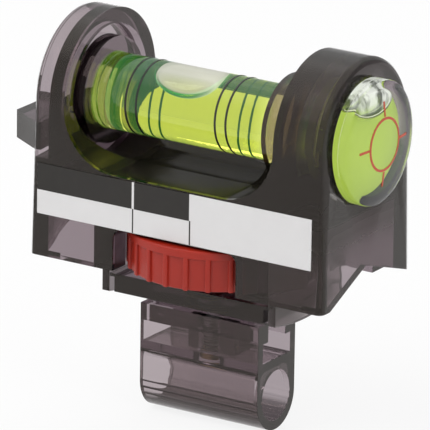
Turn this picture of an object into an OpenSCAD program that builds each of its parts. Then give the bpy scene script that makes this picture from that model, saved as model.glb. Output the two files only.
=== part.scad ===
// Drill mounted level: a smoke clear body with two round topped ends, a tubular vial between
// them, a round vial in the right end, a thumbwheel and a clamp loop for an 8 mm rod.
// Frame: origin at the centre of the rod hole, halfway along it. +X runs along both vials
// towards the round one, -Y is the front with the label, +Z is up.

/* [Body] */
// length of the body along the vials
body_len = 51; // [50.5:0.1:52]
// depth of the body, front to back; the ends are half round with this width
body_depth = 25.2; // [25:0.1:25.6]
// height of the body's lower edge above the rod's centre line
body_low = 19; // [18.8:0.1:19.2]
// height of the deck between the two ends
deck_z = 34; // [33.8:0.1:34.4]
// height of the vials' common centre line
axis_z = 43; // [42.8:0.1:43.4]
// thickness of the left end
left_end_t = 5.5; // [5:0.1:6]
// thickness of the right end
right_end_t = 8.4; // [8.2:0.1:9]
// radius of the sweep from the deck up to each end
sweep_r = 9; // [7:0.5:9]
// thickness of the front and back walls
wall_t = 3.2; // [2.8:0.1:3.4]
// thickness of the end walls of the side bays
end_wall_t = 1.8; // [1.4:0.1:2]
// how much longer the body's lower edge is at each end
end_draft = 0.6; // [0.1:0.1:0.8]
// radius of the two ends' outer edges
edge_r = 1; // [0.6:0.1:1.2]
// height of the V notch in each end wall
notch_h = 4.6; // [3:0.1:5]

/* [Vial seats] */
// radius of the trough under the tube vial
trough_r = 9.9; // [9.5:0.1:10]
// radius of the moat in the left end
moat_r = 10.2; // [9.8:0.1:10.4]
// depth of the moat in the left end
moat_depth = 1.4; // [1:0.1:2]
// radius of the left end's disc
disc_r = 8.3; // [7.8:0.1:8.6]
// radius of the right collar
collar_r = 8.1; // [7.6:0.1:8.4]
// how far the left end's disc stands out of it
disc_proud = 0.7; // [0.4:0.1:1]
// how deep the tube vial sits in the disc
disc_seat = 0.6; // [0.4:0.1:0.8]
// depth of the hollow in the left end's outer side
hollow_depth = 2; // [1.4:0.1:2.2]
// width of the rim round that hollow
hollow_rim = 2.4; // [2:0.1:3]
// how far the right collar stands out of the right end
collar_len = 4.9; // [3:0.1:5.2]

/* [Tube vial] */
// outer diameter of the tube vial
tube_d = 11.8; // [11:0.1:12]
// bore of the tube vial
tube_bore_d = 10; // [9.4:0.1:10.2]
// width of the smooth gap between the two inner lines
tube_line_gap = 14.1; // [13.5:0.1:15]
// distance between the two lines of each pair
tube_line_pitch = 1.9; // [1.6:0.1:2.2]
// length of the tube vial's bubble
tube_bubble_len = 12; // [11:0.1:12.5]
// where the middle of the tube vial's chamber lies
chamber_x = -4.4; // [-4.6:0.1:-4.2]

/* [Round vial] */
// outer diameter of the round vial
round_d = 19.2; // [18.6:0.1:19.4]
// bore of the round vial
round_bore_d = 15.8; // [15:0.1:16]
// how far the round vial stands out of the body
round_proud = 2.5; // [2.2:0.1:3]
// height of the lens's dome
dome_h = 0.9; // [0.5:0.1:1.2]
// depth of the round vial's liquid, from the cup's floor to the lens
round_depth = 3.9; // [3.6:0.1:5]
// diameter of the red circle
target_d = 8; // [7:0.1:8.6]
// length of each red tick outside the circle
target_tick = 2.4; // [1.5:0.1:2.6]

/* [Thumbwheel and screw] */
// outer diameter of the thumbwheel over its ribs
wheel_d = 28; // [27.6:0.1:28.2]
// height of the thumbwheel
wheel_h = 6.4; // [6:0.1:6.4]
// number of ribs round the thumbwheel
wheel_ribs = 25; // [20:1:28]
// width of a rib
rib_w = 0.8; // [0.6:0.1:1.2]
// how far a rib stands out
rib_t = 0.4; // [0.2:0.1:0.6]
// diameter of the clamp screw
screw_d = 5; // [4.8:0.1:5]
// how much wider each side of a thumb window is than the wheel where it comes through
window_side = 0.6; // [0.4:0.1:0.9]
// gap between the thumbwheel and the inner walls
wheel_gap = 0.2; // [0.2:0.05:0.4]
// diameter of the screw's plain shank under its thread
shank_d = 4; // [3.4:0.1:4.2]

/* [Base plate and foot] */
// length of the base plate
plate_len = 26.7; // [26:0.1:27]
// depth of the base plate, front to back
plate_depth = 16.8; // [16:0.1:17]
// thickness of the base plate's lower step
plate_t = 2.35; // [2:0.05:2.5]
// how far the rail between the loop's lips reaches to the left of the screw
rail_left = 10.3; // [9:0.1:10.5]
// how far the T shaped foot under the plate reaches to the left of the screw
foot_left = 3; // [2.9:0.1:4.5]
// how far the foot reaches to the right of the screw
foot_right = 5.3; // [4:0.1:5.6]
// half the width of the foot's head
foot_head = 3; // [2.9:0.1:3.6]

/* [Clamp loop] */
// diameter of the rod that the loop holds
rod_d = 8; // [7.6:0.1:8.1]
// length of the loop along the rod
loop_len = 21.2; // [20:0.1:22]
// outer width of the loop
loop_w = 10.4; // [10.3:0.1:10.8]
// height of the loop's top above the rod's centre line
loop_top = 12.1; // [11.8:0.1:12.3]
// thickness of the two lips along the top
lip_t = 3; // [2.6:0.1:3]
// height of the T slot under the lips
slot_h = 3.2; // [3:0.1:3.4]
// thickness of the slot's side walls
slot_wall = 1.3; // [1.1:0.1:1.4]
// number of grooves in the lower half of the rod hole
groove_n = 11; // [7:2:11]

/* [Label] */
// length of the label
label_len = 48.8; // [47:0.1:48.8]
// height of the label
label_h = 8; // [7.6:0.1:8]
// thickness of the label
label_t = 0.2; // [0.1:0.05:0.25]

/* [Hidden] */
$fn = 96;
fit = 0.05; // clearance of a shaft in its bore, on the radius
seat = 0.02; // clearance of a filled space, on the radius
half_len = body_len / 2;
half_dep = body_depth / 2;
left_face = -half_len + left_end_t; // the left end's inner face
right_face = half_len - right_end_t; // the right end's inner face
moat_floor = left_face - moat_depth;
disc_face = left_face + disc_proud;
collar_face = right_face - collar_len; // the right collar's face
tube_r = tube_d / 2;
tube_bore_r = tube_bore_d / 2;
tube_left = disc_face - disc_seat; // the tube vial's left end, sunk in the disc
tube_back = 6.9; // from the tube vial's right end to the body's right end
tube_right = half_len - tube_back;
cap_flange = 1.4;
cap_len = 2.5; // from the tube vial's left end to its chamber
chamber_l = tube_left + cap_len;
chamber_len = 2 * (chamber_x - chamber_l);
chamber_r = chamber_l + chamber_len;
bubble_lift = 4.1; // middle of the tube vial's bubble above the centre line, before the bore cuts it
bubble_w = 8.8;
bubble_h = 6.2;
line_r = tube_r + 0.08;
line_w = 0.35;
bubble_x = chamber_x - 0.65; // the bubble rests a little left of the middle, as photographed
round_r = round_d / 2;
round_bore_r = round_bore_d / 2;
round_sunk = 5.5; // how far the round vial is let into the body
round_back = half_len - round_sunk;
round_bubble_low = 0.9; // middle of the round vial's bubble below the top of its bore
round_bubble_w = 10.4;
round_bubble_h = 5.4;
round_front = half_len + round_proud;
lens_t = 1.5;
round_floor = round_front - lens_t - round_depth;
wheel_r = wheel_d / 2;
wheel_low = body_low - 0.2;
wheel_top = wheel_low + wheel_h;
plate_gap = 0.2; // least gap between the plate's ends and the inner walls
inner_x = max(wheel_r + wheel_gap, plate_len / 2 + plate_gap); // inner faces of the two inner walls
inside = half_dep - wall_t; // inner faces of the front and back walls
window_w = 2 * (sqrt(wheel_r * wheel_r - inside * inside) + window_side);
inner_t = 1.3;
inner_low = 14.05;
notch_w = 10.2; // where the notch's front arm meets the lower edge
chamber_top = 28;
bay_top = 31.6;
window_top = 25.6;
plate_low = 14.15;
plate_mid = plate_low + plate_t;
plate_top = plate_mid + 0.5;
screw_r = screw_d / 2;
screw_hole_r = screw_r + 0.25;
nut_r = 4;
nut_seat = 0.6; // thickness of the plate under the nut
tongue_low = 35.2;
tongue_t = 4.4;
tongue_out = 6.2; // how far the tongue stands out of the left end
tongue_tip = 7.9; // half its width at the tip
tongue_root = 12; // half its width at the left end
tongue_sunk = 0.6;
pin_r = 0.75;
pin_half = 4.6;
pin_z = wheel_low + wheel_h / 2;
hub_r = 5;
thread_low = plate_low + 0.3; // where the thread starts above the shank
tip_r = 1.5;
pad_low = 4.6;
pad_r = 2.5;
hole_r = rod_d / 2;
loop_round = loop_w / 2;
slot_top = loop_top - lip_t;
slot_low = slot_top - slot_h;
lip_gap = 4.9;
neck = lip_gap / 2 - 0.35; // half the width of the foot's neck between the lips
label_low = 25.75;
label_mid = -0.2;
dome_a = round_r - 0.4; // radius of the dome's rim
dome_r = (dome_a * dome_a + dome_h * dome_h) / (2 * dome_h);
dome_x = round_front + dome_h - dome_r; // centre of the dome's sphere

// a flat shape drawn in Y and Z, run along X from x0 to x1
module along_x(x0, x1) {
    translate([x0, 0, 0]) rotate([90, 0, 90]) linear_extrude(height = x1 - x0) children();
}

// a flat shape drawn in X and Z, run along Y from y0 to y1
module across_y(y0, y1) {
    translate([0, y1, 0]) rotate([90, 0, 0]) linear_extrude(height = y1 - y0) children();
}

// a round bar on the vials' centre line from x0 to x1
module axis_bar(r, x0, x1) {
    translate([x0, 0, axis_z]) rotate([0, 90, 0]) cylinder(r = r, h = x1 - x0);
}

// a plain block given by its limits
module block(x0, x1, y0, y1, z0, z1) {
    translate([x0, y0, z0]) cube([x1 - x0, y1 - y0, z1 - z0]);
}

// the end's outline: half round on top, straight sides
module end_outline() {
    translate([0, axis_z]) circle(r = half_dep);
    translate([-half_dep, body_low]) square([body_depth, axis_z - body_low]);
}

// the whole body before it is hollowed, with rounded end edges
module body_block() {
    hull() for (k = [0:3]) {
        in = edge_r * (1 - cos(k * 30));
        reach = half_len - edge_r * (1 - sin(k * 30));
        along_x(-reach, reach) offset(delta = -in) end_outline();
        block(-reach - end_draft, reach + end_draft, -half_dep + in, half_dep - in, body_low, body_low + 0.2);
    }
}

// the opening between the two ends, with swept lower corners
module opening_outline() {
    w = right_face - left_face;
    translate([left_face, deck_z + sweep_r]) square([w, 40]);
    translate([left_face + sweep_r, deck_z]) square([w - 2 * sweep_r, 40]);
    translate([left_face + sweep_r, deck_z + sweep_r]) circle(r = sweep_r);
    translate([right_face - sweep_r, deck_z + sweep_r]) circle(r = sweep_r);
}

// the rib under the right collar, with a swept left side
module rib_outline() {
    r = 6.5;
    low = axis_z - trough_r;
    x = collar_face - 1;
    difference() {
        translate([x - r, low - 1]) square([r + 1 + collar_len + 0.5, r + 1]);
        translate([x - r, low + r]) circle(r = r);
    }
}

// the lower end of an inner wall, bowed down at the middle
module inner_wall_outline() {
    bow = 0.9;
    half = plate_depth / 2;
    r = (half * half + bow * bow) / (2 * bow);
    translate([-half, inner_low]) square([plate_depth, body_low + 1 - inner_low]);
    intersection() {
        translate([0, inner_low - bow + r]) circle(r = r, $fn = 360);
        translate([-half, inner_low - bow - 1]) square([plate_depth, bow + 2]);
    }
}

// a window with rounded upper corners
module window_outline() {
    r = 1.5;
    translate([-window_w / 2, body_low - 1]) square([window_w, window_top - body_low + 1 - r]);
    translate([-window_w / 2 + r, body_low - 1]) square([window_w - 2 * r, window_top - body_low + 1]);
    for (s = [-1, 1]) translate([s * (window_w / 2 - r), window_top - r]) circle(r = r, $fn = 48);
}

// the hollow in the left end's outer side: half round on top, flat below the tongue
module hollow_outline() {
    r = half_dep - hollow_rim;
    intersection() {
        union() {
            translate([0, axis_z]) circle(r = r);
            translate([-r, deck_z]) square([2 * r, axis_z - deck_z]);
        }
        translate([-20, deck_z]) square([40, 40]);
    }
}

module housing() {
    bay_in = inner_x + inner_t;
    bay_out = half_len - end_wall_t;
    color([0.32, 0.29, 0.28, 0.6]) difference() {
        union() {
            difference() {
                body_block();
                across_y(-20, 20) opening_outline();
                axis_bar(trough_r, left_face, collar_face);
                axis_bar(moat_r, moat_floor, left_face + 0.1);
                // the hollow in the left end's outer side
                along_x(-half_len - 1, -half_len + hollow_depth) hollow_outline();
            }
            axis_bar(disc_r, moat_floor - 0.3, disc_face);
            axis_bar(collar_r, collar_face, right_face + 0.5);
            across_y(-4.2, 4.2) rib_outline();
            for (s = [-1, 1]) translate([s * (inner_x + inner_t / 2), 0, 0])
                along_x(-inner_t / 2, inner_t / 2) inner_wall_outline();
            // the tongue across the left end
            translate([0, 0, tongue_low]) linear_extrude(height = tongue_t) polygon([
                [-half_len + tongue_sunk, -tongue_root], [-half_len - tongue_out, -tongue_tip],
                [-half_len - tongue_out, tongue_tip], [-half_len + tongue_sunk, tongue_root]]);
        }
        // seats of the tube vial and the round vial
        axis_bar(tube_r + fit, tube_left, disc_face + 1);
        axis_bar(tube_r + fit, collar_face - 2, round_back + 1);
        axis_bar(round_r + fit, round_back, half_len + 1);
        // the thumbwheel's chamber, its two windows and the side bays
        intersection() {
            block(-inner_x, inner_x, -inside, inside, body_low - 1, chamber_top);
            translate([0, 0, body_low - 1]) cylinder(r = inner_x, h = chamber_top - body_low + 1);
        }
        across_y(-20, 20) window_outline();
        for (s = [-1, 1]) {
            block(min(s * bay_in, s * bay_out), max(s * bay_in, s * bay_out), -inside, inside,
                body_low - 1, bay_top);
            translate([s * (half_len - 1), 0, 0]) along_x(-3, 3)
                polygon([[-notch_w, body_low - 0.01], [0, body_low + notch_h], [half_dep + 1, body_low + 0.2],
                    [half_dep + 1, body_low - 0.01]]);
        }
    }
}

module base_plate() {
    half = plate_len / 2;
    hd = plate_depth / 2;
    color([0.30, 0.28, 0.27, 0.6]) difference() {
        union() {
            block(-half, half, -hd, hd, plate_low, plate_mid + 0.01);
            block(-inner_x, inner_x, -hd, hd, plate_mid, plate_top);
            block(-rail_left, foot_right, -neck, neck, slot_top - 0.2, plate_low + 0.5);
            block(-foot_left, foot_right, -foot_head, foot_head, slot_low + 0.2, slot_top);
        }
        // the thread comes down to just under the plate; the foot clears the plain shank
        translate([0, 0, thread_low - 1.65]) cylinder(r = screw_hole_r, h = 30);
        cylinder(r = shank_d / 2 + 0.25, h = 30);
        translate([0, 0, plate_low + nut_seat]) cylinder(r = nut_r, h = 10, $fn = 6);
    }
}

module plate_nut() {
    color([0.78, 0.62, 0.30]) difference() {
        translate([0, 0, plate_low + nut_seat]) cylinder(r = nut_r, h = plate_top - plate_low - nut_seat, $fn = 6);
        cylinder(r = screw_r + fit, h = 40);
    }
}

module thumbwheel() {
    core = wheel_r - rib_t;
    color([0.75, 0.27, 0.19]) difference() {
        union() {
            translate([0, 0, wheel_low]) cylinder(r = core, h = wheel_h);
            translate([0, 0, wheel_top - 1.3]) cylinder(r = wheel_r, h = 1.3 - 0.3);
            translate([0, 0, wheel_top - 0.3]) cylinder(r1 = wheel_r, r2 = wheel_r - 0.3, h = 0.3);
            for (k = [0:wheel_ribs - 1]) rotate([0, 0, -93 + k * 360 / wheel_ribs])
                block(core - 0.5, wheel_r, -rib_w / 2, rib_w / 2, wheel_low, wheel_top - 0.9);
        }
        // dished above and below, between the rim and the hub
        for (z = [wheel_low - 1, wheel_top - 1.6]) difference() {
            translate([0, 0, z]) cylinder(r = core - 1.8, h = 2.6);
            translate([0, 0, z - 1]) cylinder(r = hub_r, h = 5);
        }
        translate([0, 0, wheel_low - 1]) cylinder(r = screw_r, h = wheel_h + 2);
        pin_bar();
    }
}

// the cross pin's bar
module pin_bar() {
    translate([0, -pin_half, pin_z]) rotate([-90, 0, 0]) cylinder(r = pin_r, h = 2 * pin_half, $fn = 32);
}

module wheel_pin() {
    color([0.72, 0.72, 0.74])
        pin_bar();
}

module clamp_screw() {
    color([0.72, 0.72, 0.74]) difference() {
        union() {
            translate([0, 0, pad_low + 0.35]) cylinder(r = tip_r, h = 2);
            translate([0, 0, pad_low + 1.2]) cylinder(r1 = tip_r, r2 = shank_d / 2, h = 1);
            translate([0, 0, pad_low + 2.19]) cylinder(r = shank_d / 2, h = thread_low - pad_low - 2.18);
            translate([0, 0, thread_low]) cylinder(r = screw_r, h = wheel_top - 0.5 - thread_low);
        }
        pin_bar();
    }
}

module press_pad() {
    color([0.72, 0.58, 0.30]) difference() {
        translate([0, 0, pad_low]) cylinder(r = pad_r, h = 1.1);
        translate([0, 0, pad_low + 0.3]) cylinder(r = tip_r + fit, h = 2);
    }
}

// the loop's outline across the rod, with the rod hole, the T slot and the grooves
module loop_outline() {
    drop = 0.3;
    difference() {
        union() {
            translate([0, -drop]) circle(r = loop_round);
            translate([-loop_round, -drop]) square([loop_w, loop_top + drop]);
        }
        circle(r = hole_r);
        translate([-loop_round + slot_wall, slot_low]) square([loop_w - 2 * slot_wall, slot_h]);
        translate([-lip_gap / 2, slot_low + 1]) square([lip_gap, 20]);
        for (k = [0:groove_n - 1]) rotate(-90 + (k - (groove_n - 1) / 2) * 12)
            translate([hole_r - 0.05, 0]) polygon([[-0.1, -0.3], [0.3, 0], [-0.1, 0.3]]);
    }
}

module clamp_loop() {
    color([0.36, 0.33, 0.32, 0.6]) difference() {
        along_x(-loop_len / 2, loop_len / 2) loop_outline();
        translate([0, 0, hole_r - 1]) cylinder(r = screw_hole_r, h = 6);
    }
}

module tube_barrel() {
    color([0.85, 0.92, 0.55, 0.5]) difference() {
        axis_bar(tube_r, tube_left + cap_flange, tube_right);
        axis_bar(tube_bore_r, tube_left, chamber_r);
    }
}

module tube_cap() {
    color([0.88, 0.92, 0.88, 0.5]) {
        axis_bar(tube_r, tube_left, tube_left + cap_flange);
        axis_bar(tube_bore_r, tube_left + 0.1, chamber_l);
    }
}

module tube_lines() {
    color([0.08, 0.08, 0.08])
        for (s = [-1, 1], k = [0, 1]) {
            x = chamber_x + s * (tube_line_gap / 2 + k * tube_line_pitch);
            difference() {
                axis_bar(line_r, x - line_w / 2, x + line_w / 2);
                axis_bar(tube_r, x - 1, x + 1);
            }
        }
}

// the rounded space that the tube vial's bubble takes, flattened by the bore above it
module tube_bubble_space(grow) {
    intersection() {
        translate([bubble_x, 0, axis_z + bubble_lift])
            resize([tube_bubble_len + 2 * grow, bubble_w + 2 * grow, bubble_h + 2 * grow]) sphere(r = 5, $fn = 40);
        axis_bar(tube_bore_r - 0.06 + 3 * grow, bubble_x - 10, bubble_x + 10);
    }
}

module tube_liquid() {
    color([0.80, 0.90, 0.25, 0.8]) difference() {
        axis_bar(tube_bore_r - seat, chamber_l + seat, chamber_r - seat);
        tube_bubble_space(0.04);
    }
}

module tube_bubble() {
    color([0.95, 0.98, 0.90, 0.4]) tube_bubble_space(0);
}

module round_cup() {
    color([0.80, 0.90, 0.60, 0.6]) difference() {
        axis_bar(round_r, round_back, round_front - lens_t);
        axis_bar(round_bore_r, round_floor, round_front);
    }
}

// the lens: a low dome outside, a shallow hollow inside that centres the bubble
module round_lens() {
    sag = 0.4;
    a = round_bore_r;
    r = (a * a + sag * sag) / (2 * sag);
    color([0.92, 0.96, 0.92, 0.4]) difference() {
        union() {
            axis_bar(round_r, round_front - lens_t, round_front - 0.4);
            translate([round_front - 0.4, 0, axis_z]) rotate([0, 90, 0])
                cylinder(r1 = round_r, r2 = dome_a, h = 0.4);
            intersection() {
                axis_bar(dome_a, round_front - 0.1, round_front + dome_h + 1);
                translate([dome_x, 0, axis_z]) sphere(r = dome_r, $fn = 180);
            }
        }
        translate([round_front - lens_t + sag - r, 0, axis_z]) sphere(r = r, $fn = 180);
    }
}

// how far the dome's surface stands at this distance from the centre line
function dome_at(r) = dome_x + sqrt(dome_r * dome_r - r * r);

module round_target() {
    w = 0.38;
    lift = 0.02;
    film = 0.08;
    r0 = target_d / 2 - w / 2;
    r1 = target_d / 2 + w / 2;
    t0 = r1 + 0.1;
    t1 = r1 + target_tick;
    color([0.78, 0.26, 0.18]) translate([0, 0, axis_z]) {
        rotate([0, 90, 0]) rotate_extrude() polygon([[r0, dome_at(r0) + lift], [r1, dome_at(r1) + lift],
            [r1, dome_at(r1) + film], [r0, dome_at(r0) + film]]);
        for (k = [0:3]) rotate([k * 90, 0, 0]) across_y(-w / 2, w / 2) polygon([[dome_at(t0) + lift, t0],
            [dome_at(t1) + lift, t1], [dome_at(t1) + film, t1], [dome_at(t0) + film, t0]]);
    }
}

// the space that the round vial's bubble takes, at the top of the chamber
module round_bubble_space(grow) {
    intersection() {
        translate([(round_floor + round_front - lens_t) / 2, 0, axis_z + round_bore_r - round_bubble_low])
            resize([round_depth - 0.2 + 2 * grow, round_bubble_w + 2 * grow, round_bubble_h + 2 * grow])
                sphere(r = 5, $fn = 40);
        axis_bar(round_bore_r - 0.06 + 3 * grow, round_floor, round_front);
    }
}

module round_liquid() {
    color([0.72, 0.86, 0.30, 0.8]) difference() {
        axis_bar(round_bore_r - seat, round_floor + seat, round_front - lens_t);
        round_bubble_space(0.04);
    }
}

module round_bubble() {
    color([0.95, 0.98, 0.90, 0.4]) round_bubble_space(0);
}

module label() {
    color([0.88, 0.87, 0.87])
        block(label_mid - label_len / 2, label_mid + label_len / 2, -half_dep - label_t, -half_dep, label_low, label_low + label_h);
}

housing();
base_plate();
plate_nut();
thumbwheel();
wheel_pin();
clamp_screw();
press_pad();
clamp_loop();
tube_barrel();
tube_cap();
tube_lines();
tube_liquid();
tube_bubble();
round_cup();
round_lens();
round_target();
round_liquid();
round_bubble();
label();
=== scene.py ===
# Drill mounted level, the looks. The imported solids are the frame; each piece here dresses one of
# them. Lengths are in millimetres in the named values and become metres in the meshes.
import math

import bmesh
import bpy
from mathutils import Matrix, Vector


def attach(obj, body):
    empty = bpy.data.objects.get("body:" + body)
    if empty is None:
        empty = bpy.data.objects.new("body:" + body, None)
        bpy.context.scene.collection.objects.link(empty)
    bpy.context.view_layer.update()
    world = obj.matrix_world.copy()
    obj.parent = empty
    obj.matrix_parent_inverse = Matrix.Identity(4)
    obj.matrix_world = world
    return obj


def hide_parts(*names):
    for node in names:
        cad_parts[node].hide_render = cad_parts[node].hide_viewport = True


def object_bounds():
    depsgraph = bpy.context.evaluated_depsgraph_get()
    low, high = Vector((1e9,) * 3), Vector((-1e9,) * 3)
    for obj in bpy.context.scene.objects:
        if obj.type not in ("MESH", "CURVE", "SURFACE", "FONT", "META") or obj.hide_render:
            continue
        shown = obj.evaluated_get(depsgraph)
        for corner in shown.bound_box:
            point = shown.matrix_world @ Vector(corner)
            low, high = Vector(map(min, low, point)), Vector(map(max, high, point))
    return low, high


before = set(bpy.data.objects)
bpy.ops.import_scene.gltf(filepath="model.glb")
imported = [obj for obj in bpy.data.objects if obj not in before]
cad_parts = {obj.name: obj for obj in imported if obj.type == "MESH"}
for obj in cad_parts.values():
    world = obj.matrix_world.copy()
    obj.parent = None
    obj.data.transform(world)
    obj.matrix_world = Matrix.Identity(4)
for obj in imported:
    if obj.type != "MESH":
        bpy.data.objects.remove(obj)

MM = 0.001
cad_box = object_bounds()

# The camera and the room
CAMERA_TURN = 32.433, 18.362, 0.899    # azimuth, elevation and roll in degrees
CAMERA_MIDDLE_Z = 19                   # the place on the Z axis that the camera was fitted about
CAMERA_AWAY = 1048.351
CAMERA_SHIFT = 0.5675, 7.2383          # how far left of and above that place it looks
CAMERA_LENS = 580.33
ROOM_FRONT, ROOM_BEHIND, ROOM_TOP = 1.0, 0.60, 1.5   # brightness in front, low behind and above
ROOM_FILL = 0.55       # brightness that falls on dull faces
FLOOR_HALF = 1.5       # half the floor's side, in metres
FLOOR_GAP = 0.00005    # how far under the part the floor lies, in metres
FLOOR_GLOW = 0.85      # share of the floor that looks as white as the room

# Sizes that the pieces share with the part's source
AXIS_Z = 43.0          # height of both vials' centre line
HALF_LEN = 25.5        # half the body's length
TUBE_R = 5.9           # outer radius of the tube vial
TUBE_BORE_R = 5.0
TUBE_LEFT = -19.9      # left end of the tube vial, sunk in the left end's disc
TUBE_JOINT = -18.5     # where the plug meets the barrel
TUBE_RIGHT = 18.6
DISC_FACE = -19.3      # face of the left end's disc
COLLAR_FACE = 12.2     # face of the right collar
CHAMBER_X = -4.4       # middle of the tube vial's chamber
CHAMBER_LEN = 26.0
LINE_GAP = 14.1        # between the inner lines
LINE_PITCH = 1.9       # between the lines of a pair
TUBE_BUBBLE_X = -5.05
ROUND_R = 9.6          # outer radius of the round vial
ROUND_BORE_R = 7.9
ROUND_BACK = 20.0
ROUND_FRONT = 28.0
ROUND_FLOOR = 22.6     # the back of the round vial's chamber
SEAT_PRESS = 0.08      # how far a vial presses into its seat, so that no air shows between them
END_PRESS = 0.02       # the same at its sunk end
SEAT_STEP = 0.05       # length of the step from its seat's radius to its own
LENS_EDGE = 1.5        # thickness of the lens at its edge
DOME_H = 0.9
WHEEL_R = 14.0
WHEEL_LOW = 18.8
WHEEL_H = 6.4
WHEEL_RIBS = 25
LOOP_LEN, LOOP_W, LOOP_TOP = 21.2, 10.4, 12.1
SLOT_TOP, SLOT_LOW, SLOT_WALL, LIP_GAP = 9.1, 5.9, 1.3, 4.9
HOLE_R = 4.0           # the rod hole
RIGHT_LIP = 1.0        # how far in from the loop's right end the hole is round all the way
SCREW_R = 2.5
SHANK_R = 2.0
THREAD_LOW = 14.45     # where the thread starts above the shank
THREAD_PITCH = 0.8

# Finishes: how the plastics bend light, and where the body's dull faces and painted shade lie
ACRYLIC_IOR = 1.49
LIQUID_IOR = 1.42
TONGUE_START = HALF_LEN + 0.4          # the tongue is left out of the end faces' painted shade, so it looks clearer
LEFT_RIM_LOW = 36.0                    # the left end's rim takes a darker painted shade above this
UNDER_DECK = 32.8                      # the body's inside lies below this
SPACE_HALF_X, SPACE_HALF_Y = 14.3, 12.0     # the space for the wheel
SPACE_CEILING = 27.85
BAY_NEAR, BAY_FAR, BAY_HALF_Y = 15.3, 23.9, 9.6
BAY_CEILING = 31.3
BAY_FADE_LOW, BAY_FADE_TOP = 24.5, 29.0     # the bays' walls turn dull and take painted shade between these heights
TROUGH_HALF_X, TROUGH_HALF_Y = 20.1, 11.9   # the trough under the tube vial
TROUGH_LOW, TROUGH_TOP = 32.9, 39.0
TROUGH_PAINTED_SHADE = 0.72     # how much of the trough's look is painted shade, a plain dark shader mixed in

# The label's plain fields: the dark band, the divider and the thin lines below the band
DARK_LEFT, DARK_RIGHT = -24.7, 2.75
DARK_LOW, DARK_TOP = 29.55, 33.8
DIVIDER_X = -7.3
LINES_LOW = 25.8


# ---------------------------------------------------------------- camera and light
def photo_camera():
    """The photograph's camera: where it stands and how it is turned were fitted to the photograph."""
    azimuth, elevation, roll = (math.radians(degrees) for degrees in CAMERA_TURN)
    back = Vector((math.sin(azimuth) * math.cos(elevation), -math.cos(azimuth) * math.cos(elevation),
                   math.sin(elevation)))
    side = Vector((math.cos(azimuth), math.sin(azimuth), 0))
    up = back.cross(side)
    right = side * math.cos(roll) + up * math.sin(roll)
    top = up * math.cos(roll) - side * math.sin(roll)
    middle = Vector((0, 0, CAMERA_MIDDLE_Z))
    stand = middle + back * CAMERA_AWAY
    aim = middle - right * CAMERA_SHIFT[0] + top * CAMERA_SHIFT[1]
    look = (stand - aim).normalized()
    right = top.cross(look).normalized()
    top = look.cross(right)
    data = bpy.data.cameras.new("photo_camera")
    data.lens = CAMERA_LENS
    data.sensor_width = 36
    data.clip_end = 20
    camera = bpy.data.objects.new("photo_camera", data)
    turn = Matrix((right, top, look)).transposed().to_4x4()
    camera.matrix_world = Matrix.Translation(stand * MM) @ turn
    bpy.context.collection.objects.link(camera)
    bpy.context.scene.camera = camera


def soft_box(name, place, aim, size, power):
    """One large white studio light, its face turned to the aim."""
    data = bpy.data.lights.new(name, "AREA")
    data.shape = "RECTANGLE"
    data.size, data.size_y = size[0] * MM, size[1] * MM
    data.energy = power
    lamp = bpy.data.objects.new(name, data)
    lamp.location = Vector(place) * MM
    lamp.rotation_euler = (Vector(place) - Vector(aim)).to_track_quat("Z", "Y").to_euler()
    lamp.visible_glossy = False
    bpy.context.collection.objects.link(lamp)


def studio():
    """A white room with a dark screen low behind the part, as in the photograph: the plastic's
    level faces mirror that screen. Three large soft boxes light it."""
    scene = bpy.context.scene
    scene.view_settings.view_transform = "Standard"
    world = bpy.data.worlds.new("white_room")
    scene.world = world
    world.use_nodes = True
    tree = world.node_tree
    n, link = tree.nodes, tree.links
    n.clear()
    out = n.new("ShaderNodeOutputWorld")
    white, room, fill = (n.new("ShaderNodeBackground") for _ in range(3))
    for light, strength in ((white, 1.0), (room, 1.0), (fill, ROOM_FILL)):
        light.inputs["Color"].default_value = (1, 1, 1, 1)
        light.inputs["Strength"].default_value = strength
    link.new(room_brightness(tree), room.inputs["Strength"])
    rays = n.new("ShaderNodeLightPath").outputs
    looked = blend_shaders(tree, seen_rays(tree), fill.outputs[0], white.outputs[0])
    mirrored = both(tree, rays["Is Glossy Ray"], rays["Is Reflection Ray"])
    link.new(blend_shaders(tree, mirrored, looked, room.outputs[0]), out.inputs["Surface"])
    soft_box("key_box", place=(-260, -300, 480), aim=(0, 0, 30), size=(420, 420), power=1.9)
    soft_box("side_box", place=(520, -160, 260), aim=(0, 0, 30), size=(260, 300), power=0.6)
    soft_box("back_box", place=(-120, 420, 480), aim=(0, 0, 35), size=(420, 300), power=0.8)


def room_brightness(tree):
    """How bright the room is in each direction: white in front, a dark screen low behind and a
    bright ceiling, each fading into the next. The directions run from -1 to 1."""
    coord, split = tree.nodes.new("ShaderNodeTexCoord"), tree.nodes.new("ShaderNodeSeparateXYZ")
    tree.links.new(coord.outputs["Generated"], split.inputs[0])
    back, up = split.outputs["Y"], split.outputs["Z"]
    screen = both(tree, spread(tree, back, 0, 1, -0.15, 0.35), spread(tree, up, 1, 0, 0.30, 0.62))
    wall = spread(tree, screen, ROOM_FRONT, ROOM_BEHIND, 0, 1)
    return either(tree, wall, spread(tree, up, 0, ROOM_TOP, 0.35, 0.75))


def seen_rays(tree):
    """1 for rays that look at the room: from the camera, in a mirror or through clear plastic."""
    rays = tree.nodes.new("ShaderNodeLightPath").outputs
    return either(tree, either(tree, rays["Is Camera Ray"], rays["Is Glossy Ray"]), rays["Is Transmission Ray"])


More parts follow.
